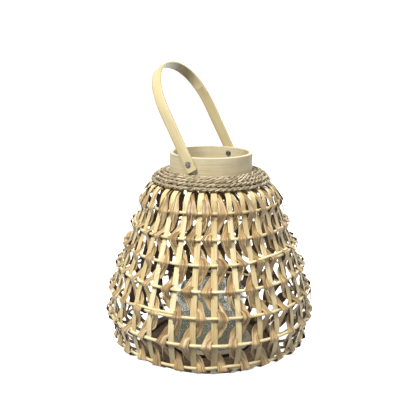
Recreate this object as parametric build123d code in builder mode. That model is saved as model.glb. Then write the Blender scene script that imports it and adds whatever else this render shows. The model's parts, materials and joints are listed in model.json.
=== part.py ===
import os
from math import cos, hypot, radians, sin

from build123d import *

os.makedirs("parts", exist_ok=True)

# Round woven bamboo candle lantern, in millimetres.
# Z is up, the floor is z = 0 and the Z axis is the middle of the cage.
# The handle turns about an axis parallel to Y and leans towards -X at rest.

# cage
stave_count = 30
stave_width = 8.0
stave_thickness = 1.5
first_stave_angle = 2.0
rod_radius = 1.4
gap = 0.25

# radius and height of each rod's seat on the outside of the staves, from the top down
rod_seats = [(94.3, 219), (105.5, 188), (117.6, 158), (129.0, 127), (139.2, 94), (142.8, 60), (134.2, 25)]

# neck
rim_height = 286.0
collar_radius = 58.0
collar_wall = 5.5
collar_bottom = 243.9
shoulder_top = 250.0
shoulder_flat_radius = 68.0
neck_hoop_radius = 67.0
neck_hoop_height = 4.5
tack_radius = 62.7
rope_radius = 2.75

# radius and height of the middle of each rope turn, from the collar outwards
rope_turns = [(61.3, 260.2), (67.2, 259.2), (72.9, 257.2), (78.0, 253.9), (81.4, 249.2)]

# base
board_radius = 104.0
board_height = 3.0
hoop_inner_radius = 90.0
hoop_outer_radius = 103.0
hoop_height = 4.3
nail_circle = 96.5
nail_radius = 0.8

# leaf strips
leaf_thickness = 0.5
leaf_half_width = 5.5
pinch_half_width = 1.5
hidden_half_width = 3.5
leaf_clearance = 0.3

# glass and the tray that it stands on
tray_radius = 63.0
tray_height = 4.5
tray_recess = 1.5
glass_radius = 50.0
glass_wall = 3.0
glass_floor = 5.0
glass_height = 79.0

# handle
pivot_height = 277.0
handle_lean = 29.0
strap_width = 15.6
strap_thickness = 3.2
leg_length = 72.0
leg_below_pivot = 11.0
arch_height = 73.0
washer_thickness = 1.2
side_play = 0.15
screw_radius = 2.0
running_play = 0.05
washer_radius = 6.0
head_radius = 4.0
head_height = 1.6
flange_radius = 3.8
flange_height = 1.3

strap_inside = collar_radius + washer_thickness + side_play
strap_outside = strap_inside + strap_thickness
stave_end_radius = hoop_inner_radius + 1.0
lower_bends = [(124.5, 12.8), (114.5, 5.4)]
stave_foot = (hoop_outer_radius, board_height + 0.1)
shoulder_start = (shoulder_flat_radius, shoulder_top)
shoulder_bend = (85.5, 241.5)
neck_bend = (91.6, 231.0)


def point_on(curve, height_seat):
    """Position along the stave's outside curve of one rod's seat."""
    return curve.param_at_point(Vector(height_seat[0], 0, height_seat[1]))


def outward(curve, u):
    """Unit normal of the curve in the XZ plane, pointing out of the cage."""
    run = curve % u
    return Vector(-run.Z, 0, run.X)


# The outside of a stave, from the shoulder down to the base board, in the XZ plane.
seat_points = [shoulder_start, shoulder_bend, neck_bend] + rod_seats + lower_bends + [stave_foot]
stave_curve = Edge.make_spline([Vector(r, 0, z) for r, z in seat_points])
seat_positions = [point_on(stave_curve, seat) for seat in rod_seats]
back_spans = 24
inner_points = [
    stave_curve @ u - outward(stave_curve, u) * stave_thickness
    for u in [i / back_spans for i in range(back_spans + 1)]
]

with BuildPart() as one_stave:
    with BuildSketch(Plane.XZ):
        with BuildLine():
            upper_end = Line(
                (collar_radius + 0.4, shoulder_top - stave_thickness), (collar_radius + 0.4, shoulder_top)
            )
            upper_run = Line(upper_end @ 1, shoulder_start)
            outside = Spline(seat_points)
            lower_run = Line(outside @ 1, (stave_end_radius, stave_foot[1]))
            lower_end = Line(lower_run @ 1, (stave_end_radius, stave_foot[1] + stave_thickness))
            inside = Spline([(p.X, p.Z) for p in reversed(inner_points)])
            lower_back = Line(lower_end @ 1, inside @ 0)
            upper_back = Line(inside @ 1, upper_end @ 0)
        make_face()
    extrude(amount=stave_width / 2, both=True)

with BuildPart() as staves:
    with PolarLocations(0, stave_count, start_angle=first_stave_angle):
        add(one_stave.part)
staves.part.label = "staves"
export_step(staves.part, "parts/staves.step")

# Seven closed rods of round bamboo, laid against the outside of the staves.
for number, u in enumerate(seat_positions, start=1):
    centre = stave_curve @ u + outward(stave_curve, u) * (rod_radius + gap)
    with BuildPart() as ring:
        with BuildSketch(Plane.XZ):
            with Locations((centre.X, centre.Z)):
                Circle(rod_radius)
        revolve(axis=Axis.Z)
    ring.part.label = f"ring_{number}"
    export_step(ring.part, f"parts/ring_{number}.step")


def leaf_station(u, side, half_width, lift):
    """Plane and width of a leaf strip where it crosses position u of its stave's curve."""
    across = side * (stave_width / 2 + leaf_clearance + half_width) if side else 0.0
    normal = outward(stave_curve, u)
    origin = stave_curve @ u + normal * lift + Vector(0, across, 0)
    return Plane(origin, x_dir=(0, 1, 0), z_dir=stave_curve % u), 2 * half_width


over_rod = 2 * rod_radius + gap + leaf_clearance + leaf_thickness / 2
behind_stave = -(stave_thickness + leaf_clearance + leaf_thickness / 2)
pinch_share = 0.34
start_u = seat_positions[0] * 0.30
rise_u = seat_positions[0] * 0.68
stations = [
    leaf_station(start_u, 1, 4.2, -stave_thickness / 2),
    leaf_station(rise_u, 1, 4.8, over_rod * 0.8),
]
for i, u in enumerate(seat_positions):
    side = 1 if i % 2 == 0 else -1
    stations.append(leaf_station(u, side, leaf_half_width, over_rod))
    if i + 1 < len(seat_positions):
        span = seat_positions[i + 1] - u
        middle = u + span / 2
        stations.append(leaf_station(middle - span * pinch_share / 2, side, pinch_half_width, behind_stave))
        stations.append(leaf_station(middle, 0, hidden_half_width, behind_stave))
        stations.append(leaf_station(middle + span * pinch_share / 2, -side, pinch_half_width, behind_stave))
last_u = seat_positions[-1] + (1 - seat_positions[-1]) * 0.36
stations.append(leaf_station(last_u, 1, pinch_half_width, -stave_thickness / 2))

with BuildPart() as one_leaf:
    for plane, width in stations:
        with BuildSketch(plane):
            Rectangle(width, leaf_thickness)
    loft(ruled=True)

with BuildPart() as leaf_strips:
    with PolarLocations(0, stave_count, start_angle=first_stave_angle):
        add(one_leaf.part)
leaf_strips.part.label = "leaf_strips"
export_step(leaf_strips.part, "parts/leaf_strips.step")

# The bent wood collar is the mouth of the lantern, with a hole each side for the handle screws.
with BuildPart() as collar_hoop:
    with BuildSketch(Plane.XZ):
        with Locations((collar_radius - collar_wall, collar_bottom)):
            collar_section = Rectangle(
                collar_wall, rim_height - collar_bottom, align=(Align.MIN, Align.MIN)
            )
        fillet(collar_section.vertices().group_by(Axis.Z)[-1], 1.0)
    revolve(axis=Axis.Z)
    with Locations(Plane(origin=(0, 0, pivot_height), z_dir=(0, 1, 0))):
        Cylinder(screw_radius + running_play, 3 * collar_radius, mode=Mode.SUBTRACT)
collar_hoop.part.label = "collar_hoop"
export_step(collar_hoop.part, "parts/collar_hoop.step")

# A flat hoop under the shoulder, which the stave tops are tacked to.
with BuildPart() as neck_hoop:
    with BuildSketch(Plane.XY.offset(shoulder_top - stave_thickness - 0.1)):
        Circle(neck_hoop_radius)
        Circle(collar_radius + 0.1, mode=Mode.SUBTRACT)
    extrude(amount=-neck_hoop_height)
neck_hoop.part.label = "neck_hoop"
export_step(neck_hoop.part, "parts/neck_hoop.step")

with BuildPart() as neck_tacks:
    with BuildSketch(Plane.XY.offset(shoulder_top)):
        with PolarLocations(tack_radius, stave_count, start_angle=first_stave_angle):
            Circle(1.5)
    extrude(amount=0.6)
    with BuildSketch(Plane.XY.offset(shoulder_top)):
        with PolarLocations(tack_radius, stave_count, start_angle=first_stave_angle):
            Circle(0.6)
    extrude(amount=-(stave_thickness + neck_hoop_height - 1))
neck_tacks.part.label = "neck_tacks"
export_step(neck_tacks.part, "parts/neck_tacks.step")

# Rope laid round the neck as a rounded shoulder, one closed turn beside the next.
for number, middle_point in enumerate(rope_turns, start=1):
    with BuildPart() as rope_turn:
        with BuildSketch(Plane.XZ):
            with Locations(middle_point):
                Circle(rope_radius)
        revolve(axis=Axis.Z)
    rope_turn.part.label = f"rope_turn_{number}"
    export_step(rope_turn.part, f"parts/rope_turn_{number}.step")

# Base: a thin board, the stave feet on it, a flat hoop that clamps them, and a nail through each foot.
with BuildPart() as base_board:
    with BuildSketch():
        Circle(board_radius)
    extrude(amount=board_height)
    fillet(base_board.edges().group_by(Axis.Z)[0], 0.8)
base_board.part.label = "base_board"
export_step(base_board.part, "parts/base_board.step")

hoop_bottom = stave_foot[1] + stave_thickness + 0.1
with BuildPart() as base_hoop:
    with BuildSketch(Plane.XY.offset(hoop_bottom)):
        Circle(hoop_outer_radius)
        Circle(hoop_inner_radius, mode=Mode.SUBTRACT)
    extrude(amount=hoop_height)
    fillet(base_hoop.edges().group_by(Axis.Z)[-1], 1.0)
base_hoop.part.label = "base_hoop"
export_step(base_hoop.part, "parts/base_hoop.step")

with BuildPart() as base_nails:
    with BuildSketch(Plane.XY.offset(hoop_bottom + hoop_height)):
        with PolarLocations(nail_circle, stave_count, start_angle=first_stave_angle):
            Circle(2 * nail_radius)
    extrude(amount=0.7)
    with BuildSketch(Plane.XY.offset(hoop_bottom + hoop_height)):
        with PolarLocations(nail_circle, stave_count, start_angle=first_stave_angle):
            Circle(nail_radius)
    extrude(amount=-(hoop_bottom + hoop_height - 0.8))
base_nails.part.label = "base_nails"
export_step(base_nails.part, "parts/base_nails.step")

# Round tray on the board, with a shallow seat for the glass.
with BuildPart() as glass_tray:
    with BuildSketch(Plane.XY.offset(board_height)):
        Circle(tray_radius)
    extrude(amount=tray_height)
    fillet(glass_tray.edges().group_by(Axis.Z)[-1], 1.2)
    with BuildSketch(Plane.XY.offset(board_height + tray_height)):
        Circle(glass_radius + 1.5)
    extrude(amount=-tray_recess, mode=Mode.SUBTRACT)
glass_tray.part.label = "glass_tray"
export_step(glass_tray.part, "parts/glass_tray.step")

glass_bottom = board_height + tray_height - tray_recess + 0.05
with BuildPart() as glass_cylinder:
    with BuildSketch(Plane.XY.offset(glass_bottom)):
        Circle(glass_radius)
    extrude(amount=glass_height)
    fillet(glass_cylinder.edges().group_by(Axis.Z)[0], 3.0)
    with BuildSketch(Plane.XY.offset(glass_bottom + glass_floor)):
        Circle(glass_radius - glass_wall)
    extrude(amount=glass_height, mode=Mode.SUBTRACT)
    fillet(glass_cylinder.edges().group_by(Axis.Z)[-1], 1.2)
glass_cylinder.part.label = "glass_cylinder"
export_step(glass_cylinder.part, "parts/glass_cylinder.step")

# Handle: one strap bent into a U, its legs outside the collar.
lean = radians(handle_lean)
handle_plane = Plane(
    origin=(0, 0, pivot_height), x_dir=(0, 1, 0), z_dir=(cos(lean), 0, sin(lean))
)
leg_total = leg_length + leg_below_pivot
with BuildPart() as handle_strap:
    with BuildSketch(handle_plane):
        with Locations((0, leg_length)):
            Ellipse(strap_outside, arch_height + strap_thickness / 2)
            Ellipse(strap_inside, arch_height - strap_thickness / 2, mode=Mode.SUBTRACT)
            Rectangle(
                3 * strap_outside, 2 * arch_height, align=(Align.CENTER, Align.MAX), mode=Mode.SUBTRACT
            )
        for hand in (-1, 1):
            with Locations((hand * (strap_inside + strap_thickness / 2), leg_length)):
                Rectangle(strap_thickness, leg_total, align=(Align.CENTER, Align.MAX))
    extrude(amount=strap_width / 2, both=True)
    with Locations(Plane(origin=(0, 0, pivot_height), z_dir=(0, 1, 0))):
        Cylinder(screw_radius + running_play, 3 * collar_radius, mode=Mode.SUBTRACT)
handle_strap.part.label = "handle_strap"
export_step(handle_strap.part, "parts/handle_strap.step")

# Screw posts, spacer washers and flanged nuts, one of each at both ends of the pivot axis.
collar_inside = collar_radius - collar_wall
post_end = collar_inside - 0.2
nut_inside = post_end - 0.05 - flange_height
head_seat = strap_outside + side_play


def pivot_plane(hand, distance):
    """Plane across the pivot axis at a distance from the middle, facing out on that side."""
    return Plane(origin=(0, hand * distance, pivot_height), z_dir=(0, hand, 0))


with BuildPart() as handle_screws:
    for hand in (-1, 1):
        with BuildSketch(pivot_plane(hand, post_end)):
            Circle(screw_radius)
        extrude(amount=head_seat - post_end)
        with BuildSketch(pivot_plane(hand, head_seat)):
            Circle(head_radius)
        extrude(amount=head_height)
        head_top = handle_screws.faces().sort_by(Axis((0, 0, 0), (0, hand, 0)))[-1]
        fillet(head_top.edges(), 0.9)
        with BuildSketch(pivot_plane(hand, head_seat + head_height)):
            Rectangle(3.6, 0.9)
            Rectangle(0.9, 3.6)
        extrude(amount=-0.8, mode=Mode.SUBTRACT)
handle_screws.part.label = "handle_screws"
export_step(handle_screws.part, "parts/handle_screws.step")

with BuildPart() as handle_washers:
    for hand in (-1, 1):
        with BuildSketch(pivot_plane(hand, collar_radius + 0.02)):
            Circle(washer_radius)
            Circle(screw_radius + running_play, mode=Mode.SUBTRACT)
        extrude(amount=washer_thickness - 0.02)
handle_washers.part.label = "handle_washers"
export_step(handle_washers.part, "parts/handle_washers.step")

with BuildPart() as handle_nuts:
    for hand in (-1, 1):
        with BuildSketch(pivot_plane(hand, post_end - 0.05)):
            Circle(flange_radius)
        extrude(amount=-flange_height)
        nut_end = [f for f in handle_nuts.faces() if abs(f.center().Y - hand * nut_inside) < 0.01]
        fillet(nut_end[0].edges(), 0.5)
handle_nuts.part.label = "handle_nuts"
export_step(handle_nuts.part, "parts/handle_nuts.step")
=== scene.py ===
import json
import math
import random

import bmesh
import bpy
from mathutils import Matrix, Vector


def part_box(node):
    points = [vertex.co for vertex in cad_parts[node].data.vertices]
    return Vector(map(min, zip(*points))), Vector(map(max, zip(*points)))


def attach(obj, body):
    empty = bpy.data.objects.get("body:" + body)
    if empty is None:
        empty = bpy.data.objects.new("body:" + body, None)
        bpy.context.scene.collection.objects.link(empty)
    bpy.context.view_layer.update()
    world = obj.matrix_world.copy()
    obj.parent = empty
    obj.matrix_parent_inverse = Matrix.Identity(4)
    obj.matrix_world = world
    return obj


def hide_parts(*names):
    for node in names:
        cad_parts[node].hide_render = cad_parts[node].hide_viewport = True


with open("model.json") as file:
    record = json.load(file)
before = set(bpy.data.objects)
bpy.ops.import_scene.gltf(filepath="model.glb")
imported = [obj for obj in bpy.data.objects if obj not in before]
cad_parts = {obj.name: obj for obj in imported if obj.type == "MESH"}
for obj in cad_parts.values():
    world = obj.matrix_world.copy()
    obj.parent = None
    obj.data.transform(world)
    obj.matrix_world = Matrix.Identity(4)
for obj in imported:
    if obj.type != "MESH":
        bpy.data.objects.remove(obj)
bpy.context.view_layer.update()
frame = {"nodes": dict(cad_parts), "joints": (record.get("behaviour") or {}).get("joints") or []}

mm = 0.001
dice = random.Random(41)
print("frame loaded:", len(frame["nodes"]), "nodes")


# small helpers that every piece uses

def toLinear(hexColour):
    # sRGB hex to the linear colour that a shader socket wants
    parts = [int(hexColour[i:i + 2], 16) / 255 for i in (1, 3, 5)]
    return [p / 12.92 if p <= 0.04045 else ((p + 0.055) / 1.055) ** 2.4 for p in parts] + [1.0]


def smooth(x):
    x = min(1.0, max(0.0, x))
    return x * x * (3 - 2 * x)


def mix(a, b, x):
    return a + (b - a) * x


def ripple(count, size):
    # a slow random wobble round a circle, as hand-bent pieces have
    waves = [(n, size * dice.uniform(0.3, 1.0) / n, dice.uniform(0, math.tau)) for n in range(1, count + 1)]
    return lambda angle: sum(a * math.sin(n * angle + p) for n, a, p in waves)


def gridSkin(bm, rows, across, along, tone=0.5):
    # a flat grid is made by the operator, then each of its vertices is carried to its place in rows;
    # across and along are the UVs, in millimetres of the real piece
    nx, ny = len(rows[0]) - 1, len(rows) - 1
    uv = bm.loops.layers.uv.verify()
    toneLayer = bm.verts.layers.float.get("tone") or bm.verts.layers.float.new("tone")
    made = bmesh.ops.create_grid(bm, x_segments=nx, y_segments=ny, size=1.0)["verts"]
    where = {}
    for v in made:
        i, j = round((v.co.x + 1) / 2 * nx), round((v.co.y + 1) / 2 * ny)
        where[v] = (i, j)
        v[toneLayer] = tone
    faces = {f for v in made for f in v.link_faces}
    for v, (i, j) in where.items():
        v.co = rows[j][i]
    for f in faces:
        for loop in f.loops:
            i, j = where[loop.vert]
            loop[uv].uv = (across[i] / 10, along[j] / 10)
    return made


def runLengths(points):
    # distance in millimetres from the first point to each point
    total = [0.0]
    for a, b in zip(points, points[1:]):
        total.append(total[-1] + (b - a).length / mm)
    return total


def tube(bm, centres, sides, radius, up, tone=0.5, uvShift=0.0):
    # a round rod along centres; radius is a function of the share of the way, up roughly the section's own up
    rows = []
    last = len(centres) - 1
    for j, c in enumerate(centres):
        run = (centres[min(j + 1, last)] - centres[max(j - 1, 0)]).normalized()
        high = up(c)
        side = run.cross(high).normalized()
        high = side.cross(run)
        r = radius(j / last)
        turn = [math.tau * k / sides for k in range(sides + 1)]
        rows.append([c + side * (r * math.cos(a)) + high * (r * math.sin(a)) for a in turn])
    girth = math.tau * radius(0.5) / mm
    along = [uvShift + x for x in runLengths(centres)]
    verts = gridSkin(bm, rows, [girth * k / sides for k in range(sides + 1)], along, tone)
    bmesh.ops.remove_doubles(bm, verts=verts, dist=0.002 * mm)


def closeEnds(bm):
    rims = [e for e in bm.edges if e.is_boundary]
    bmesh.ops.holes_fill(bm, edges=rims, sides=0)


def toPiece(bm, name, material, body, replaced=(), sharp=None, closed=True):
    if closed:
        bmesh.ops.recalc_face_normals(bm, faces=bm.faces)
    mesh = bpy.data.meshes.new(name)
    bm.to_mesh(mesh)
    bm.free()
    for p in mesh.polygons:
        p.use_smooth = True
    if sharp is not None:
        mesh.set_sharp_from_angle(angle=math.radians(sharp))
    mesh.materials.append(material)
    piece = bpy.data.objects.new(name, mesh)
    bpy.context.scene.collection.objects.link(piece)
    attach(piece, body)
    if replaced:
        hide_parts(*replaced)
    return piece


# materials

def newMaterial(name):
    material = bpy.data.materials.new(name)
    material.use_nodes = True
    tree = material.node_tree
    return material, tree, tree.nodes["Principled BSDF"]


def addNode(tree, kind, settings=None, inputs=None):
    # settings are the node's own options; an input is given a value, or a socket to link from
    node = tree.nodes.new("ShaderNode" + kind)
    for key, value in (settings or {}).items():
        setattr(node, key, value)
    for key, value in (inputs or {}).items():
        if isinstance(value, bpy.types.NodeSocket):
            tree.links.new(value, node.inputs[key])
        else:
            node.inputs[key].default_value = value
    return node


def ramp(tree, factor, stops):
    node = addNode(tree, "ValToRGB", inputs={"Fac": factor})
    elements = node.color_ramp.elements
    while len(elements) < len(stops):
        elements.new(0.5)
    for element, (place, hexColour) in zip(elements, stops):
        element.position = place
        element.color = toLinear(hexColour)
    return node.outputs["Color"]


def grainCoordinates(tree, acrossMm, alongMm):
    # the piece's UVs are in centimetres, so this scales them to one noise cell per grain line
    uv = addNode(tree, "TexCoord").outputs["UV"]
    tone = addNode(tree, "Attribute", {"attribute_name": "tone"}).outputs["Fac"]
    shifted = addNode(tree, "CombineXYZ", inputs={"Z": tone}).outputs["Vector"]
    moved = addNode(tree, "VectorMath", {"operation": "ADD"}, {0: uv, 1: shifted}).outputs["Vector"]
    size = (10 / acrossMm, 10 / alongMm, 37.0)
    return addNode(tree, "Mapping", inputs={"Vector": moved, "Scale": size}).outputs["Vector"], tone


def fibreMaterial(name, look):
    # shared build for the split, shaved and dried plant pieces: fine lines along the piece, broad blotches,
    # a shade of its own for each piece, and a bump that follows the fine lines
    material, tree, shader = newMaterial(name)
    lines, tone = grainCoordinates(tree, look["lineMm"], look["lineLengthMm"])
    blotches = grainCoordinates(tree, look["blotchMm"], look["blotchLengthMm"])[0]
    fine = addNode(tree, "TexNoise", inputs={"Vector": lines, "Scale": 1.0, "Detail": 3.0, "Roughness": 0.6})
    broad = addNode(tree, "TexNoise", inputs={"Vector": blotches, "Scale": 1.0, "Detail": 2.0})
    body = ramp(tree, fine.outputs["Fac"], look["lineColours"])
    patch = ramp(tree, broad.outputs["Fac"], look["blotchColours"])
    mixed = addNode(tree, "Mix", {"data_type": "RGBA", "blend_type": "MULTIPLY"},
                    {"Factor": look["blotchShare"], "A": body, "B": patch}).outputs["Result"]
    own = ramp(tree, tone, look["toneColours"])
    coloured = addNode(tree, "Mix", {"data_type": "RGBA", "blend_type": "MULTIPLY"},
                       {"Factor": 1.0, "A": mixed, "B": own}).outputs["Result"]
    if "paintedShadeFrom" in look:
        # the side of a split that faces into the cage is multiplied by a darker colour: painted shade
        uv = addNode(tree, "TexCoord").outputs["UV"]
        sideways = addNode(tree, "SeparateXYZ", inputs={"Vector": uv}).outputs["X"]
        back = addNode(tree, "MapRange", inputs={"Value": sideways, "From Min": look["paintedShadeFrom"] - 0.03,
                                                 "From Max": look["paintedShadeFrom"] + 0.03}).outputs["Result"]
        coloured = addNode(tree, "Mix", {"data_type": "RGBA", "blend_type": "MULTIPLY"},
                           {"Factor": back, "A": coloured, "B": toLinear(look["paintedShadeColour"])}).outputs["Result"]
    tree.links.new(coloured, shader.inputs["Base Color"])
    bump = addNode(tree, "Bump", inputs={"Height": fine.outputs["Fac"], "Strength": look["bump"],
                                         "Distance": look["bumpMm"] * mm})
    tree.links.new(bump.outputs["Normal"], shader.inputs["Normal"])
    rough = addNode(tree, "MapRange", inputs={"Value": broad.outputs["Fac"], "To Min": look["roughness"] - 0.08,
                                              "To Max": look["roughness"] + 0.08})
    tree.links.new(rough.outputs["Result"], shader.inputs["Roughness"])
    shader.inputs["IOR"].default_value = 1.5
    shader.inputs["Coat Weight"].default_value = look["coat"]
    shader.inputs["Coat Roughness"].default_value = 0.35
    return material


# split bamboo, planed on one side: pale straw, with close dark lines from the cut fibres and a dull shine.
# Real fibres are about 0.3 mm apart, and are drawn as coarse as they need to show
splitBamboo = fibreMaterial("splitBamboo", {
    "lineMm": 0.9, "lineLengthMm": 45, "blotchMm": 9, "blotchLengthMm": 60,
    "lineColours": [(0.30, "#C5B07E"), (0.44, "#E2D3A8"), (0.62, "#EDE0BA"), (0.80, "#DACA9B")],
    "blotchColours": [(0.30, "#E2D8C0"), (0.55, "#FFFFFF")], "blotchShare": 0.7,
    "toneColours": [(0.0, "#E9E0CC"), (0.5, "#FFFFFF"), (1.0, "#F3E9D2")],
    # the inner side of each split, from the UV across given here, is darkened: painted shade
    "paintedShadeFrom": 0.87, "paintedShadeColour": "#7C6E50",  # paintedShadeFrom is the UV across, in cm, where the inner side starts
    "bump": 0.35, "bumpMm": 0.25, "roughness": 0.50, "coat": 0.10})

# shaved round bamboo rod: paler than the splits, nearly even, with small nicks
shavedRod = fibreMaterial("shavedBambooRod", {
    "lineMm": 1.1, "lineLengthMm": 16, "blotchMm": 12, "blotchLengthMm": 30,
    "lineColours": [(0.28, "#C9B888"), (0.45, "#EADDB4"), (0.75, "#F3EACA")],
    "blotchColours": [(0.35, "#E4D9BC"), (0.55, "#FFFFFF")], "blotchShare": 0.5,
    "toneColours": [(0.0, "#F2E9D4"), (1.0, "#FFFFFF")],
    "bump": 0.3, "bumpMm": 0.2, "roughness": 0.48, "coat": 0.12})

# dried bamboo sheath: tan to brown ribs, about a millimetre apart, that run the whole strip and catch the light
driedSheath = fibreMaterial("driedBambooSheath", {
    "lineMm": 1.5, "lineLengthMm": 60, "blotchMm": 6, "blotchLengthMm": 24,
    "lineColours": [(0.32, "#6E5233"), (0.42, "#A68B62"), (0.54, "#CCB387"), (0.68, "#E8D6AC")],
    "blotchColours": [(0.32, "#B3A58F"), (0.48, "#E6DED0"), (0.62, "#FFFFFF")], "blotchShare": 0.85,
    "toneColours": [(0.0, "#D6CDBE"), (0.5, "#F4F0E4"), (1.0, "#FFFFFF")],
    "bump": 0.6, "bumpMm": 0.5, "roughness": 0.46, "coat": 0.08})

# the inner side of the same sheath, dull and dark brown: a darker copy of the sheath that paints the shade
# inside the cage
sheathPaintedShade = fibreMaterial("sheathInnerFacePaintedShade", {
    "lineMm": 1.5, "lineLengthMm": 60, "blotchMm": 8, "blotchLengthMm": 24,
    "lineColours": [(0.30, "#33261A"), (0.45, "#54412A"), (0.56, "#6E5738"), (0.70, "#8A7049")],
    "blotchColours": [(0.30, "#A89880"), (0.62, "#FFFFFF")], "blotchShare": 0.8,
    "toneColours": [(0.0, "#C4B6A2"), (1.0, "#FFFFFF")],
    "bump": 0.5, "bumpMm": 0.4, "roughness": 0.62, "coat": 0.0})

# twisted grass rope: grey tan strands, quite matt; the darkest of its fine lines are painted shade in the
# cracks between the blades. A blade is finer than
# 0.8 mm, and is drawn as coarse as it needs to show
grassRope = fibreMaterial("twistedGrassRope", {
    "lineMm": 0.8, "lineLengthMm": 14, "blotchMm": 5, "blotchLengthMm": 22,
    "lineColours": [(0.32, "#3A2E1E"), (0.42, "#8A7D64"), (0.54, "#C4B89C"), (0.68, "#F0E8D0")],
    "blotchColours": [(0.32, "#B0A48F"), (0.60, "#FFFFFF")], "blotchShare": 0.7,
    "toneColours": [(0.0, "#E4DACB"), (1.0, "#FFFFFF")],
    "bump": 0.8, "bumpMm": 0.5, "roughness": 0.68, "coat": 0.0})

# sanded bamboo strap: bright straw with long quiet grain and a satin face
bentStrap = fibreMaterial("sandedBambooStrap", {
    "lineMm": 0.8, "lineLengthMm": 90, "blotchMm": 14, "blotchLengthMm": 70,
    "lineColours": [(0.26, "#BFAF82"), (0.45, "#D8CAA0"), (0.70, "#E2D6B2")],
    "blotchColours": [(0.32, "#E3D7B8"), (0.58, "#FFFFFF")], "blotchShare": 0.6,
    # a higher tone darkens the strap; its inner faces are given one as painted shade
    "toneColours": [(0.0, "#F6F6F4"), (1.0, "#ADA68E")],
    "bump": 0.18, "bumpMm": 0.2, "roughness": 0.42, "coat": 0.18})


def ringGrain(name, look):
    # for round CAD pieces with no UVs: the grain follows the angle round Z, so it runs along the bent wood
    material, tree, shader = newMaterial(name)
    place = addNode(tree, "TexCoord").outputs["Object"]
    parts = addNode(tree, "SeparateXYZ", inputs={"Vector": place})
    angle = addNode(tree, "Math", {"operation": "ARCTAN2"}, {0: parts.outputs["Y"], 1: parts.outputs["X"]})
    finePerMetre = 1 / (look["lineMm"] * mm)
    reach = addNode(tree, "Math", {"operation": "MULTIPLY"}, {0: parts.outputs["Z"], 1: finePerMetre})
    turn = addNode(tree, "Math", {"operation": "MULTIPLY"},
                   {0: angle.outputs["Value"], 1: look["radiusMm"] / look["lineLengthMm"]})
    level = addNode(tree, "CombineXYZ", inputs={"X": parts.outputs["X"], "Y": parts.outputs["Y"]})
    flat = addNode(tree, "VectorMath", {"operation": "LENGTH"}, {0: level.outputs["Vector"]})
    depth = addNode(tree, "Math", {"operation": "MULTIPLY"}, {0: flat.outputs["Value"], 1: finePerMetre})
    grain = addNode(tree, "CombineXYZ", inputs={"X": turn.outputs["Value"], "Y": reach.outputs["Value"],
                                                "Z": depth.outputs["Value"]}).outputs["Vector"]
    fine = addNode(tree, "TexNoise", inputs={"Vector": grain, "Scale": 1.0, "Detail": 3.0})
    broad = addNode(tree, "TexNoise", inputs={"Vector": place, "Scale": 1 / (look["blotchMm"] * mm),
                                              "Detail": 2.0})
    body = ramp(tree, fine.outputs["Fac"], look["lineColours"])
    patch = ramp(tree, broad.outputs["Fac"], look["blotchColours"])
    mixed = addNode(tree, "Mix", {"data_type": "RGBA", "blend_type": "MULTIPLY"},
                    {"Factor": look["blotchShare"], "A": body, "B": patch}).outputs["Result"]
    tree.links.new(mixed, shader.inputs["Base Color"])
    bump = addNode(tree, "Bump", inputs={"Height": fine.outputs["Fac"], "Strength": look["bump"],
                                         "Distance": 0.2 * mm})
    tree.links.new(bump.outputs["Normal"], shader.inputs["Normal"])
    shader.inputs["Roughness"].default_value = look["roughness"]
    return material


# steam-bent veneer hoop, sanded: grey cream, faint grain round the hoop
bentVeneer = ringGrain("bentVeneerHoop", {
    "lineMm": 1.3, "lineLengthMm": 55, "radiusMm": 58, "blotchMm": 30,
    "lineColours": [(0.28, "#B5A887"), (0.50, "#C6BA9A"), (0.75, "#CEC3A6")],
    "blotchColours": [(0.30, "#E4DAC2"), (0.60, "#FFFFFF")], "blotchShare": 0.5,
    "bump": 0.12, "roughness": 0.5})

# raw plywood of the hidden hoops and the base: brown, coarse and matt
rawPlywood = ringGrain("rawPlywood", {
    "lineMm": 1.8, "lineLengthMm": 30, "radiusMm": 95, "blotchMm": 22,
    "lineColours": [(0.28, "#4C3D2B"), (0.50, "#6F5D47"), (0.75, "#8C7A60")],
    "blotchColours": [(0.30, "#B59A74"), (0.60, "#FFFFFF")], "blotchShare": 0.7, "bump": 0.4, "roughness": 0.7})


def speckled(name, stops, roughness, grainMm, metallic=0.0, bump=0.2):
    # even finishes with a fine speckle: plated steel, fibre and lacquer
    material, tree, shader = newMaterial(name)
    place = addNode(tree, "TexCoord").outputs["Object"]
    grit = addNode(tree, "TexNoise", inputs={"Vector": place, "Scale": 1 / (grainMm * mm), "Detail": 2.0})
    tree.links.new(ramp(tree, grit.outputs["Fac"], stops), shader.inputs["Base Color"])
    rough = addNode(tree, "MapRange", inputs={"Value": grit.outputs["Fac"], "To Min": roughness - 0.07,
                                              "To Max": roughness + 0.1})
    tree.links.new(rough.outputs["Result"], shader.inputs["Roughness"])
    dents = addNode(tree, "Bump", inputs={"Height": grit.outputs["Fac"], "Strength": bump,
                                          "Distance": 0.05 * mm})
    tree.links.new(dents.outputs["Normal"], shader.inputs["Normal"])
    shader.inputs["Metallic"].default_value = metallic
    return material


# zinc plated steel gone dark: grey, worn lighter in places
darkSteel = speckled("darkPlatedSteel", [(0.35, "#4B4A4C"), (0.62, "#8B8A8C")], 0.38, 2.5, metallic=1.0)
# pressed fibre washer: black and matt
blackFibre = speckled("pressedFibre", [(0.3, "#141312"), (0.7, "#2A2725")], 0.7, 1.0)


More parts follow.
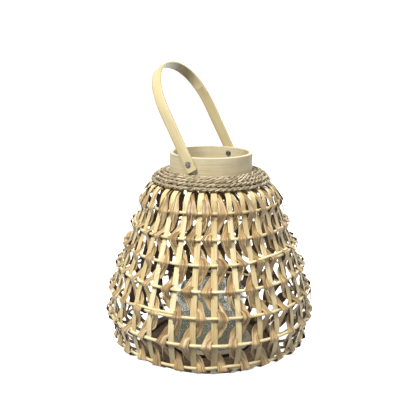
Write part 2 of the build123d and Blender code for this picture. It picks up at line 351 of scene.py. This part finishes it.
def makeCutPlywood():
    # laser-cut plywood disc: a pale grey tan face with soft blotches on its top, and black on the edge and on
    # every face that doesn't face up
    material, tree, shader = newMaterial("laserCutPlywood")
    place = addNode(tree, "TexCoord").outputs["Object"]
    cells = (1 / (2.2 * mm), 1 / (34 * mm), 1 / (2.2 * mm))  # grain lines 2.2 mm apart and 34 mm long
    stretched = addNode(tree, "Mapping", inputs={"Vector": place, "Scale": cells})
    grain = addNode(tree, "TexNoise", inputs={"Vector": stretched.outputs["Vector"], "Scale": 1.0,
                                              "Detail": 3.0})
    face = ramp(tree, grain.outputs["Fac"], [(0.3, "#A39682"), (0.5, "#C2B69C"), (0.75, "#CFC4AB")])
    height = addNode(tree, "SeparateXYZ", inputs={"Vector": place}).outputs["Z"]
    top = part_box("glass_tray")[1].z
    isFace = addNode(tree, "MapRange", inputs={"Value": height, "From Min": top - 1.75 * mm,
                                               "From Max": top - 1.6 * mm})
    normal = addNode(tree, "NewGeometry").outputs["Normal"]
    flat = addNode(tree, "SeparateXYZ", inputs={"Vector": normal}).outputs["Z"]
    upward = addNode(tree, "MapRange", inputs={"Value": flat, "From Min": 0.75, "From Max": 0.9})
    both = addNode(tree, "Math", {"operation": "MULTIPLY"},
                   {0: isFace.outputs["Result"], 1: upward.outputs["Result"]})
    colour = addNode(tree, "Mix", {"data_type": "RGBA"},
                     {"Factor": both.outputs["Value"], "A": toLinear("#0B0806"), "B": face})
    tree.links.new(colour.outputs["Result"], shader.inputs["Base Color"])
    bump = addNode(tree, "Bump", inputs={"Height": grain.outputs["Fac"], "Strength": 0.25,
                                         "Distance": 0.2 * mm})
    tree.links.new(bump.outputs["Normal"], shader.inputs["Normal"])
    shader.inputs["Roughness"].default_value = 0.6
    return material


cutPlywood = makeCutPlywood()


def makeGlass():
    # pressed soda glass: a milky grey green with slight waves from the mould. Clear glass inside the cage goes
    # nearly black, so part of it is let through as plain transparency
    material, tree, shader = newMaterial("pressedSodaGlass")
    place = addNode(tree, "TexCoord").outputs["Object"]
    waves = addNode(tree, "TexNoise", inputs={"Vector": place, "Scale": 1 / (28 * mm), "Detail": 1.0})
    tint = ramp(tree, waves.outputs["Fac"], [(0.3, "#CFD6C2"), (0.7, "#E2E6D6")])
    tree.links.new(tint, shader.inputs["Base Color"])
    bend = addNode(tree, "Bump", inputs={"Height": waves.outputs["Fac"], "Strength": 0.12,
                                         "Distance": 1.0 * mm})
    tree.links.new(bend.outputs["Normal"], shader.inputs["Normal"])
    shader.inputs["Transmission Weight"].default_value = 0.40
    shader.inputs["Roughness"].default_value = 0.12
    shader.inputs["IOR"].default_value = 1.5
    shader.inputs["Alpha"].default_value = 0.42
    return material


clearGlass = makeGlass()
print("materials made")


# the wall of the cage: a line from the shoulder to the foot through the middles of the seven rods.
# A place on it is an angle round Z, a length down the line, a step sideways and a step outwards.

cage = {
    "staves": 30, "firstAngle": math.radians(2.0),
    "rodRadius": 1.4 * mm, "splitWidth": 8.0 * mm, "splitThickness": 1.4 * mm,
    "shoulder": [(0.0590, 0.2516), (0.0685, 0.2513), (0.0866, 0.2427), (0.0931, 0.2316)],
    "foot": [(0.1256, 0.0116), (0.1150, 0.0039), (0.1040, 0.0016), (0.0920, 0.0015)],
    "step": 1.0 * mm,
}


def rodMiddle(number):
    low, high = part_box(f"ring_{number}")
    return high.x - (high.z - low.z) / 2, (high.z + low.z) / 2


def wallLine():
    knots = cage["shoulder"] + [rodMiddle(k) for k in range(1, 8)] + cage["foot"]
    knots = [Vector(k) for k in knots]
    knots = [2 * knots[0] - knots[1]] + knots + [2 * knots[-1] - knots[-2]]
    line, marks = [], []
    for a, b, c, d in zip(knots, knots[1:], knots[2:], knots[3:]):
        marks.append(len(line))
        steps = max(2, round((c - b).length / cage["step"]))
        for n in range(steps):
            x = n / steps
            line.append(0.5 * ((2 * b) + (c - a) * x + (2 * a - 5 * b + 4 * c - d) * x ** 2
                               + (3 * b - a - 3 * c + d) * x ** 3))
    line.append(knots[-2].copy())
    lengths = [0.0]
    for p, q in zip(line, line[1:]):
        lengths.append(lengths[-1] + (q - p).length)
    first = len(cage["shoulder"])
    return line, lengths, [lengths[marks[first + k]] for k in range(7)]


wallPoints, wallLengths, rodLengths = wallLine()
wallEnd = wallLengths[-1]
span = (rodLengths[6] - rodLengths[0]) / 6


def wallAt(length):
    # point and outward normal of the wall line in the plane of one stave
    length = min(max(length, 0.0), wallEnd - 1e-6)
    low, high = 0, len(wallLengths) - 1
    while high - low > 1:
        middle = (low + high) // 2
        if wallLengths[middle] <= length:
            low = middle
        else:
            high = middle
    x = (length - wallLengths[low]) / (wallLengths[high] - wallLengths[low])
    p = wallPoints[low].lerp(wallPoints[high], x)
    before, after = wallPoints[max(low - 2, 0)], wallPoints[min(high + 2, len(wallPoints) - 1)]
    run = (after - before).normalized()
    return p, Vector((-run.y, run.x))


def onWall(angle, length, side, out):
    p, normal = wallAt(length)
    r, z = p.x + normal.x * out, p.y + normal.y * out
    c, s = math.cos(angle), math.sin(angle)
    return Vector((r * c - side * s, r * s + side * c, z))


staveAngles = [cage["firstAngle"] + math.tau * i / cage["staves"] + math.radians(dice.uniform(-0.7, 0.7))
               for i in range(cage["staves"])]
rodRipples = [ripple(3, 1.5 * mm) for _ in range(7)]


def rodLengthAt(number, angle):
    # length down the wall at which rod 1 to 7 crosses this angle
    return rodLengths[number - 1] + rodRipples[number - 1](angle)


# split bamboo staves

def makeStaves():
    look = {"rows": 150, "wander": 0.9 * mm, "bevel": 0.4 * mm, "knotWidth": 2.2 * mm,
            "knotHeight": 0.35 * mm, "neckWidth": 0.86, "neckLength": 0.05}
    bm = bmesh.new()
    outer = -(cage["rodRadius"] + 0.15 * mm)
    for angle in staveAngles:
        wide = cage["splitWidth"] / 2 * dice.uniform(0.90, 1.06)
        thick = cage["splitThickness"]
        knot = dice.uniform(0.1, 1.1) * wallEnd
        drift = [dice.uniform(-1, 1) * look["wander"], dice.uniform(0, math.tau), dice.uniform(0.6, 1.6)]
        tone = dice.random()
        shift = dice.uniform(0, 300)
        rows = []
        for j in range(look["rows"] + 1):
            length = wallEnd * j / look["rows"]
            side = drift[0] * math.sin(drift[1] + drift[2] * math.tau * j / look["rows"])
            lift = look["knotHeight"] * math.exp(-((length - knot) / look["knotWidth"]) ** 2)
            half = wide * mix(look["neckWidth"], 1.0, smooth(length / look["neckLength"]))
            b = look["bevel"]
            section = [(-half, -b), (-half + b, 0), (half - b, 0), (half, -b), (half, b - thick),
                       (half - b, -thick), (b - half, -thick), (-half, b - thick), (-half, -b)]
            rows.append([onWall(angle, length, side + s, outer + o + (lift if o > -b else 0))
                         for s, o in section])
        across = [0, 0.5, 7.5, 8, 9, 9.5, 16.5, 17, 18]
        along = [shift + wallEnd / mm * j / look["rows"] for j in range(look["rows"] + 1)]
        verts = gridSkin(bm, rows, across, along, tone)
        bmesh.ops.remove_doubles(bm, verts=verts, dist=0.002 * mm)
    closeEnds(bm)
    return toPiece(bm, "staves_split", splitBamboo, "cage", ["staves"], sharp=40)


makeStaves()
print("staves made")


# seven bamboo rods, each a rod bent round with its two ends lapped side by side

def makeRods():
    look = {"radius": 2.1 * mm, "out": 0.7 * mm, "stepAngle": math.radians(1.4), "lap": 0.045,
            "lapRise": 3.6 * mm, "sides": 9, "knotSwell": 0.10, "knotEvery": 0.23, "knotLength": 3 * mm}
    startAngles = [math.radians(a) for a in (40, 205, -20, 118, 262, 75, -50)]
    for number in range(1, 8):
        bm = bmesh.new()
        radius = rodMiddle(number)[0]
        lapAngle = look["lap"] / radius
        total = math.tau + lapAngle
        count = int(total / look["stepAngle"])
        knotShift = dice.uniform(0, look["knotEvery"])
        thin = look["radius"] * dice.uniform(0.94, 1.04)
        centres = []
        for j in range(count + 1):
            turned = total * j / count
            angle = startAngles[number - 1] + turned
            rise = smooth((turned - math.tau + lapAngle * 0.9) / (lapAngle * 0.9)) * look["lapRise"]
            centres.append(onWall(angle, rodLengthAt(number, angle) - rise, 0, look["out"]))

        def girth(share):
            length = share * total * radius + knotShift
            away = (length + look["knotEvery"] / 2) % look["knotEvery"] - look["knotEvery"] / 2
            swell = look["knotSwell"] * math.exp(-(away / look["knotLength"]) ** 2)
            tip = min(share, 1 - share) * total * radius
            return thin * (1 + swell) * (0.55 + 0.45 * smooth(tip / (1.5 * mm)))

        tube(bm, centres, look["sides"], girth, lambda c: Vector((0, 0, 1)),
             dice.random(), dice.uniform(0, 200))
        closeEnds(bm)
        toPiece(bm, f"rod_{number}", shavedRod, "cage", [f"ring_{number}"])


makeRods()
print("rods made")


# dried sheath strips: each goes behind its stave between two rods and out over each rod beside the stave,
# on the left and the right in turn, so it shows as a row of points that lean on the rods

leaf = {"across": 12, "step": 1.3 * mm, "thickness": 0.4 * mm, "width": 12.0, "ribs": 0.22 * mm, "soften": 1,
        "startBelow": 17.5 * mm, "tail": 17.0 * mm, "moreSpread": 0.05}

# the strip's edge beside the stave and its far edge, sideways from the middle of the stave, how far out each
# lies, and how much its middle bellies outwards, in mm: by share of the way from a rod to the middle of a span
overRods = [
    (0.00, 4.2, 18.8, 6.4, 3.3, 0.0),
    (0.08, 4.2, 17.5, 5.8, 2.9, 0.0),
    (0.18, 4.2, 16.2, 3.9, 0.6, 0.1),
    (0.32, 4.2, 14.7, 1.4, -0.7, 0.2),
    (0.44, 3.0, 13.4, -1.6, -1.6, 0.2),
    (0.60, -4.4, 11.8, -4.3, -2.6, 0.1),
    (0.80, -7.4, 10.2, -4.6, -3.6, 0.0),
    (1.00, -8.8, 8.8, -4.6, -4.6, -0.4),
]
# the same, by share of the way from the edge of the rope to the first rod
underRope = [
    (0.00, -5.0, 4.6, -4.0, -4.0, 0.0),
    (0.28, -3.5, 8.0, -4.1, -2.7, 0.1),
    (0.46, 0.0, 10.2, -3.9, -1.0, 0.2),
    (0.62, 4.2, 12.6, -0.2, -0.3, 0.3),
    (0.80, 4.2, 15.0, 3.4, 0.8, 0.2),
    (1.00, 4.2, 17.6, 6.4, 3.3, 0.0),
]


def fromTable(table, x):
    for a, b in zip(table, table[1:]):
        if x <= b[0]:
            f = (x - a[0]) / (b[0] - a[0])
            return [mix(p, q, f) * mm for p, q in zip(a[1:], b[1:])]
    return [v * mm for v in table[-1][1:]]


def leafRow(near, far, nearOut, farOut, belly):
    # behind the stave the strip stays flat, and it starts to come out at the stave's edge
    corner = max(near, 4.4 * mm)
    row = []
    for i in range(leaf["across"] + 1):
        f = i / leaf["across"]
        side = mix(near, far, f)
        f2 = min(1.0, max(0.0, (side - corner) / max(far - corner, 0.5 * mm)))
        row.append((side, mix(nearOut, farOut, f2) + belly * (1 - (2 * f - 1) ** 2)))
    return row


def makeLeafStrips(group, angles):
    bm = bmesh.new()
    for index, angle in angles:
        crossings = [rodLengthAt(k, angle) for k in range(1, 8)]
        top = wallLengths[0] + leaf["startBelow"] + dice.uniform(-1, 1) * mm
        end = crossings[6] + leaf["tail"]
        wide = [dice.uniform(0.84, 1.10) for _ in range(8)]
        lift = [dice.uniform(-0.6, 1.5) * mm for _ in range(8)]
        tilt = [dice.uniform(-0.5, 1.1) * mm for _ in range(8)]
        late = [dice.uniform(-0.02, 0.13) for _ in range(8)]
        puff = [dice.uniform(-0.5, 0.8) * mm for _ in range(8)]
        ribs = [dice.uniform(-1, 1) * leaf["ribs"] for _ in range(leaf["across"] + 1)]
        tone, shift = dice.random(), dice.uniform(0, 400)
        count = int((end - top) / leaf["step"])
        rows, lengths = [], []
        for j in range(count + 1):
            length = mix(top, end, j / count)
            lengths.append(length)
            if length < crossings[0]:
                x = (length - top) / (crossings[0] - top)
                near, far, nearOut, farOut, belly = fromTable(underRope, x)
                k, side, grow = 0, 1, smooth(x * 1.3)
            else:
                k = sum(1 for c in crossings if c <= length) - 1
                lower = crossings[k + 1] if k < 6 else crossings[6] + span
                x = (length - crossings[k]) / (lower - crossings[k])
                x = min(1.0, max(0.0, x - late[k] * math.sin(math.pi * x)))
                if x >= 0.5:
                    k += 1
                half = 2 * min(x, 1 - x)
                side = 1 if k % 2 == 0 else -1
                near, far, nearOut, farOut, belly = fromTable(overRods, half)
                grow = 1 - smooth(half)
            spread = 1 + leaf["moreSpread"] * max(0, k - 1) * (1 - grow)
            near, far = near * (spread if near < 0 else 1), far * spread
            far = near + (far - near) * mix(1.0, wide[k], grow)
            nearOut += max(0.0, lift[k]) * grow * 0.5
            farOut += (lift[k] + tilt[k]) * grow
            belly += puff[k] * grow * (1 - grow) * 3
            row = leafRow(near, far, nearOut, farOut, belly)
            row = [(side * a, o) for a, o in row][::side]
            rows.append([(a, o + r) for (a, o), r in zip(row, ribs)])
        for _ in range(leaf["soften"]):
            # the rows are evened out along the strip, which eases its folds a little
            rows = [rows[0]] + [
                [(q[0], (p[1] + 2 * q[1] + r[1]) / 4) for p, q, r in zip(a, b, c)]
                for a, b, c in zip(rows, rows[1:], rows[2:])
            ] + [rows[-1]]
        laid = [[onWall(angle, length, s, o) for s, o in row] for length, row in zip(lengths, rows)]
        across = [leaf["width"] * i / leaf["across"] + 40 * index for i in range(leaf["across"] + 1)]
        gridSkin(bm, laid, across, [shift + (v - top) / mm for v in lengths], tone)
    bm.normal_update()
    if sum(f.normal.dot(f.calc_center_median() * Vector((1, 1, 0))) for f in bm.faces) < 0:
        bmesh.ops.reverse_faces(bm, faces=bm.faces)
    piece = toPiece(bm, f"leafStrips_{group}", driedSheath, "cage", ["leaf_strips"],
                    closed=False)
    # the second slot, on the side facing into the cage, is the dark sheath copy: painted shade
    piece.data.materials.append(sheathPaintedShade)
    thick = piece.modifiers.new("thickness", "SOLIDIFY")
    thick.thickness = leaf["thickness"]
    thick.offset = 0
    thick.material_offset = 1  # the side that faces into the cage


for group in range(3):
    chosen = [(i, a) for i, a in enumerate(staveAngles) if i % 3 == group]
    makeLeafStrips(group + 1, chosen)
print("leaf strips made")


# rope: two strands twisted together and laid round the neck, with a short jog at the end of each turn

def makeRope():
    look = {"strandRadius": 1.5 * mm, "offset": 1.22 * mm, "lay": 16 * mm, "sides": 7, "step": 1.25 * mm,
            "jogAngle": math.radians(38), "turns": 5, "lastOut": 0.1 * mm, "lastDown": 0.4 * mm}
    middles = []
    for n in range(1, 6):
        low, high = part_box(f"rope_turn_{n}")
        thick = (high.z - low.z) / 2
        middles.append((high.x - thick, (high.z + low.z) / 2))
    middles[-1] = (middles[-1][0] + look["lastOut"], middles[-1][1] - look["lastDown"])

    def ropeAt(angle):
        turn = min(look["turns"] - 1, int(angle // math.tau))
        inTurn = angle - turn * math.tau
        jog = smooth((inTurn - math.tau + look["jogAngle"]) / look["jogAngle"])
        here = middles[turn]
        after = middles[min(turn + 1, look["turns"] - 1)]
        wobble = 0.35 * mm * math.sin(angle * 3.7) + 0.25 * mm * math.sin(angle * 9.1 + 1)
        r, z = mix(here[0], after[0], jog) + wobble * 0.5, mix(here[1], after[1], jog) + wobble * 0.6
        return r, z

    bm = bmesh.new()
    start = math.radians(138)
    total = look["turns"] * math.tau - math.radians(6)
    angles, lengths, angle, length = [], [], 0.0, 0.0
    while angle < total:
        angles.append(angle)
        lengths.append(length)
        r = ropeAt(angle)[0]
        angle += look["step"] / r
        length += look["step"]
    for strand in range(2):
        centres = []
        for a, d in zip(angles, lengths):
            r, z = ropeAt(a)
            twist = strand * math.pi + math.tau * d / look["lay"] + 0.5 * math.sin(d / 0.047)
            tail = smooth((lengths[-1] - d) / 0.012) * smooth(d / 0.012)
            reach = look["offset"] * mix(0.3, 1.0, tail)
            r += reach * math.cos(twist)
            z += reach * math.sin(twist) - (1 - tail) * 1.2 * mm
            centres.append(Vector((r * math.cos(a + start), r * math.sin(a + start), z)))
        girths = ripple(40, 0.055)
        swell = lambda share: look["strandRadius"] * (1 + girths(share * math.tau * 3)) * (
            0.35 + 0.65 * smooth(min(share, 1 - share) * lengths[-1] / 0.010))
        tube(bm, centres, look["sides"], swell, lambda c: Vector((0, 0, 1)), dice.random(), 500 * strand)
    closeEnds(bm)
    toPiece(bm, "neckRope", grassRope, "cage", [f"rope_turn_{n}" for n in range(1, 6)])

    # loose blades that stand off the rope
    bm = bmesh.new()
    for _ in range(240):
        a = dice.uniform(0.2, total - 0.2)
        r, z = ropeAt(a)
        around = dice.uniform(-0.4, 2.6)
        away = Vector((math.cos(a + start), math.sin(a + start), 0))
        run = Vector((-away.y, away.x, 0)) * dice.choice((-1, 1))
        out = away * math.cos(around) + Vector((0, 0, 1)) * math.sin(around)
        root = Vector((r * away.x, r * away.y, z)) + out * 2.5 * mm
        long = dice.uniform(3, 9) * mm
        lift = dice.uniform(0.15, 0.6)
        centres = [root + run * (long * x) + out * (long * lift * x * x) for x in (0, 0.35, 0.7, 1)]
        tube(bm, centres, 3, lambda share: mix(0.20, 0.06, share) * mm, lambda c: Vector((0, 0, 1)),
             dice.random(), dice.uniform(0, 50))
    closeEnds(bm)
    toPiece(bm, "ropeFibres", grassRope, "cage")


makeRope()
print("rope made")


# handle strap

def makeStrap():
    joint = [j for j in frame["joints"] if j["name"] == "handle_swing"][0]
    pivot = Vector(joint["pos_m"])
    low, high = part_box("handle_strap")
    look = {"lean": math.radians(29.0), "leg": 72.0 * mm, "below": 11 * mm, "arch": 72.0 * mm, "square": 0.90,
            "width": 15.6 * mm, "thickness": 3.2 * mm, "crown": 0.5 * mm, "columns": 8, "step": 2.5 * mm,
            "knots": (0.335, 0.80), "knotRise": 0.5 * mm, "knotLength": 2.2 * mm}
    half = high.y - look["thickness"] / 2
    up = Vector((-math.sin(look["lean"]), 0, math.cos(look["lean"])))
    wideways = Vector((math.cos(look["lean"]), 0, math.sin(look["lean"])))
    outline = []
    count = int((look["leg"] + look["below"]) / look["step"])
    for j in range(count):
        outline.append((-half, mix(-look["below"], look["leg"], j / count), -1, 0))
    for j in range(91):
        a = math.pi * (1 - j / 90)
        y = half * math.copysign(abs(math.cos(a)) ** look["square"], math.cos(a))
        w = look["leg"] + look["arch"] * math.sin(a) ** look["square"]
        nx, nw = math.cos(a) / half, math.sin(a) / look["arch"]
        size = math.hypot(nx, nw)
        outline.append((y, w, nx / size, nw / size))
    for j in range(1, count + 1):
        outline.append((half, mix(look["leg"], -look["below"], j / count), 1, 0))
    middles = [pivot + Vector((0, y, 0)) + up * w for y, w, _, _ in outline]
    lengths = runLengths(middles)
    rows = []
    for (y, w, ny, nw), middle, length in zip(outline, middles, lengths):
        out = Vector((0, ny, 0)) + up * nw
        share = length / lengths[-1]
        knot = sum(math.exp(-((share - k) * lengths[-1] * mm / look["knotLength"]) ** 2) for k in look["knots"])
        end = min(length, lengths[-1] - length)
        wide = look["width"] / 2 * (1 - 0.10 * (1 - smooth(end / 1.2)))
        top, under = [], []
        for i in range(look["columns"] + 1):
            f = 2 * i / look["columns"] - 1
            rise = look["crown"] * (1 - f * f) * smooth(end / 25) + knot * look["knotRise"]
            edge = 0.55 * mm if abs(f) > 0.99 else 0.0
            top.append(middle + wideways * (f * wide) + out * (look["thickness"] / 2 + rise - edge))
            under.append(middle - wideways * (f * wide) - out * (look["thickness"] / 2 - edge))
        rows.append(top + under + [top[0]])
    across = [look["width"] / mm * i / look["columns"] for i in range(look["columns"] + 1)]
    across = across + [x + 22 for x in across] + [44]
    bm = bmesh.new()
    verts = gridSkin(bm, rows, across, lengths, 0.0)
    toneLayer = bm.verts.layers.float["tone"]
    # the faces towards the other leg and under the arch get a darker tone than the outer faces: painted shade
    for v in verts:
        local = v.co - pivot
        y, w = local.y, local.dot(up)
        inside = (y / half) ** 2 + (max(0.0, w - look["leg"]) / look["arch"]) ** 2 < 1
        v[toneLayer] = 0.55 if inside else 0.05
    bmesh.ops.remove_doubles(bm, verts=verts, dist=0.002 * mm)
    closeEnds(bm)
    toPiece(bm, "handleStrap", bentStrap, "handle", ["handle_strap"], sharp=32)


makeStrap()
print("strap made")


# glass cylinder

def makeGlassCylinder():
    low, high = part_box("glass_cylinder")
    radius = high.x
    look = {"wall": 2.8 * mm, "floor": 5 * mm, "steps": 96}
    bottom, top = low.z, high.z
    profile = [(0, bottom + 0.6 * mm), (radius - 9 * mm, bottom + 0.6 * mm), (radius - 6 * mm, bottom),
               (radius - 3 * mm, bottom), (radius - 0.9 * mm, bottom + 0.9 * mm), (radius, bottom + 3 * mm),
               (radius, top - 1.2 * mm), (radius - 0.4 * mm, top - 0.3 * mm), (radius - look["wall"] / 2, top),
               (radius - look["wall"] + 0.4 * mm, top - 0.3 * mm), (radius - look["wall"], top - 1.2 * mm),
               (radius - look["wall"], bottom + look["floor"] + 3 * mm),
               (radius - look["wall"] - 3 * mm, bottom + look["floor"]), (0, bottom + look["floor"] - 0.4 * mm)]
    bm = bmesh.new()
    verts = [bm.verts.new((r, 0, z)) for r, z in profile]
    edges = [bm.edges.new(pair) for pair in zip(verts, verts[1:])]
    bmesh.ops.spin(bm, geom=verts + edges, cent=(0, 0, 0), axis=(0, 0, 1), angle=math.tau,
                   steps=look["steps"], use_merge=True)
    bmesh.ops.remove_doubles(bm, verts=bm.verts, dist=0.005 * mm)
    toPiece(bm, "candleGlass", clearGlass, "glass", ["glass_cylinder"], sharp=40)


makeGlassCylinder()
print("glass made")


# loose slivers torn off the leaf strips, which bridge from one rod to the next

def makeSlivers():
    bm = bmesh.new()
    for _ in range(170):
        index = dice.randrange(cage["staves"])
        k = dice.randrange(1, 7)
        angle = staveAngles[index]
        side = 1 if k % 2 == 1 else -1
        begin = rodLengthAt(k, angle) + dice.uniform(0.0, 0.2) * span
        finish = begin + dice.uniform(0.45, 1.0) * span
        s0, s1 = side * dice.uniform(7, 16) * mm, side * dice.uniform(-2, 15) * mm
        o0, o1 = dice.uniform(2.4, 3.6) * mm, dice.uniform(1.0, 5.5) * mm
        sag = dice.uniform(-0.5, 2.0) * mm
        centres = [onWall(angle, mix(begin, finish, x), mix(s0, s1, x * x),
                          mix(o0, o1, x) + sag * math.sin(math.pi * x)) for x in [n / 7 for n in range(8)]]
        wide = dice.uniform(0.25, 0.60) * mm
        tube(bm, centres, 4, lambda share: wide * (1 - 0.75 * share),
             lambda c: Vector((c.x, c.y, 0)).normalized(), dice.random(), dice.uniform(0, 90))
    closeEnds(bm)
    toPiece(bm, "looseSlivers", splitBamboo, "cage")


makeSlivers()
print("slivers made")


# CAD pieces that stay, with their finishes

finishes = {
    "collar_hoop": bentVeneer, "neck_hoop": rawPlywood, "base_board": rawPlywood, "base_hoop": rawPlywood,
    "glass_tray": cutPlywood, "handle_screws": darkSteel, "handle_nuts": darkSteel,
    "handle_washers": blackFibre, "neck_tacks": darkSteel, "base_nails": darkSteel,
}
for node, material in finishes.items():
    mesh = frame["nodes"][node].data
    mesh.materials.clear()
    mesh.materials.append(material)


# floor, light and camera

def makeStage():
    look = {"half": 3.2, "bend": 0.8, "wall": 2.6, "paper": "#F4F3F0", "glow": 0.92, "sky": 0.10,
            "steps": 48}
    bm = bmesh.new()
    profile = [(0.0, 0.0), (look["half"], 0.0)]
    profile += [(look["half"] + look["bend"] * math.sin(a), look["bend"] * (1 - math.cos(a)))
                for a in [math.radians(x) for x in range(15, 91, 15)]]
    profile.append((look["half"] + look["bend"], look["wall"]))
    verts = [bm.verts.new((r, 0, z)) for r, z in profile]
    edges = [bm.edges.new(pair) for pair in zip(verts, verts[1:])]
    bmesh.ops.spin(bm, geom=verts + edges, cent=(0, 0, 0), axis=(0, 0, 1), angle=math.tau,
                   steps=look["steps"], use_merge=True)
    bmesh.ops.remove_doubles(bm, verts=bm.verts, dist=0.001)
    mesh = bpy.data.meshes.new("floor")
    bm.to_mesh(mesh)
    bm.free()
    for p in mesh.polygons:
        p.use_smooth = True
    material, tree, shader = newMaterial("paperFloor")
    shader.inputs["Base Color"].default_value = toLinear(look["paper"])
    shader.inputs["Roughness"].default_value = 0.9
    shader.inputs["Emission Color"].default_value = toLinear("#FFFFFF")
    shader.inputs["Emission Strength"].default_value = look["glow"]
    mesh.materials.append(material)
    floor = bpy.data.objects.new("floor", mesh)
    bpy.context.scene.collection.objects.link(floor)
    floor.visible_diffuse = False  # the bright paper shows but doesn't wash out the inside of the cage
    world = bpy.data.worlds.new("studio")
    world.use_nodes = True
    world.node_tree.nodes["Background"].inputs["Color"].default_value = toLinear("#FFFFFF")
    world.node_tree.nodes["Background"].inputs["Strength"].default_value = look["sky"]
    bpy.context.scene.world = world


view = {"turn": math.radians(29.0), "distance": 0.928, "height": 0.4317, "pitch": math.radians(13.9),
        "roll": math.radians(0.54), "lens": 57.5}


def addLight(name, azimuth, elevation, distance, size, power, colour):
    # azimuth is measured from the camera's side, positive to its right
    a = view["turn"] + math.radians(azimuth)
    e = math.radians(elevation)
    back = Vector((math.sin(a) * math.cos(e), -math.cos(a) * math.cos(e), math.sin(e)))
    data = bpy.data.lights.new(name, "AREA")
    data.shape = "DISK"
    data.size = size
    data.energy = power
    data.color = toLinear(colour)[:3]
    lamp = bpy.data.objects.new(name, data)
    lamp.location = Vector((0, 0, 0.15)) + back * distance
    lamp.rotation_mode = "QUATERNION"
    lamp.rotation_quaternion = (-back).to_track_quat("-Z", "Y")
    bpy.context.scene.collection.objects.link(lamp)


def makeCamera():
    data = bpy.data.cameras.new("camera")
    data.lens = view["lens"]
    data.sensor_width = 36
    camera = bpy.data.objects.new("camera", data)
    ahead = Vector((-math.sin(view["turn"]), math.cos(view["turn"]), 0))
    right = Vector((math.cos(view["turn"]), math.sin(view["turn"]), 0))
    up = Vector((0, 0, 1))
    look = ahead * math.cos(view["pitch"]) - up * math.sin(view["pitch"])
    high = ahead * math.sin(view["pitch"]) + up * math.cos(view["pitch"])
    across = right * math.cos(view["roll"]) + high * math.sin(view["roll"])
    high = high * math.cos(view["roll"]) - right * math.sin(view["roll"])
    place = -ahead * view["distance"] - right * 0.8 * mm + up * view["height"]
    camera.matrix_world = Matrix((
        (across.x, high.x, -look.x, place.x), (across.y, high.y, -look.y, place.y),
        (across.z, high.z, -look.z, place.z), (0, 0, 0, 1)))
    bpy.context.scene.collection.objects.link(camera)
    bpy.context.scene.camera = camera


makeStage()
addLight("key", -30, 54, 1.6, 0.55, 35, "#FFFDF6")
addLight("fill", 38, 40, 2.0, 0.9, 9, "#F6F8FF")
addLight("back", 165, 40, 2.0, 1.0, 24, "#FFFDF6")
addLight("side", 95, 34, 2.0, 0.9, 9, "#F8FAFF")
makeCamera()
bpy.context.scene.view_settings.view_transform = "Standard"
print("stage made")
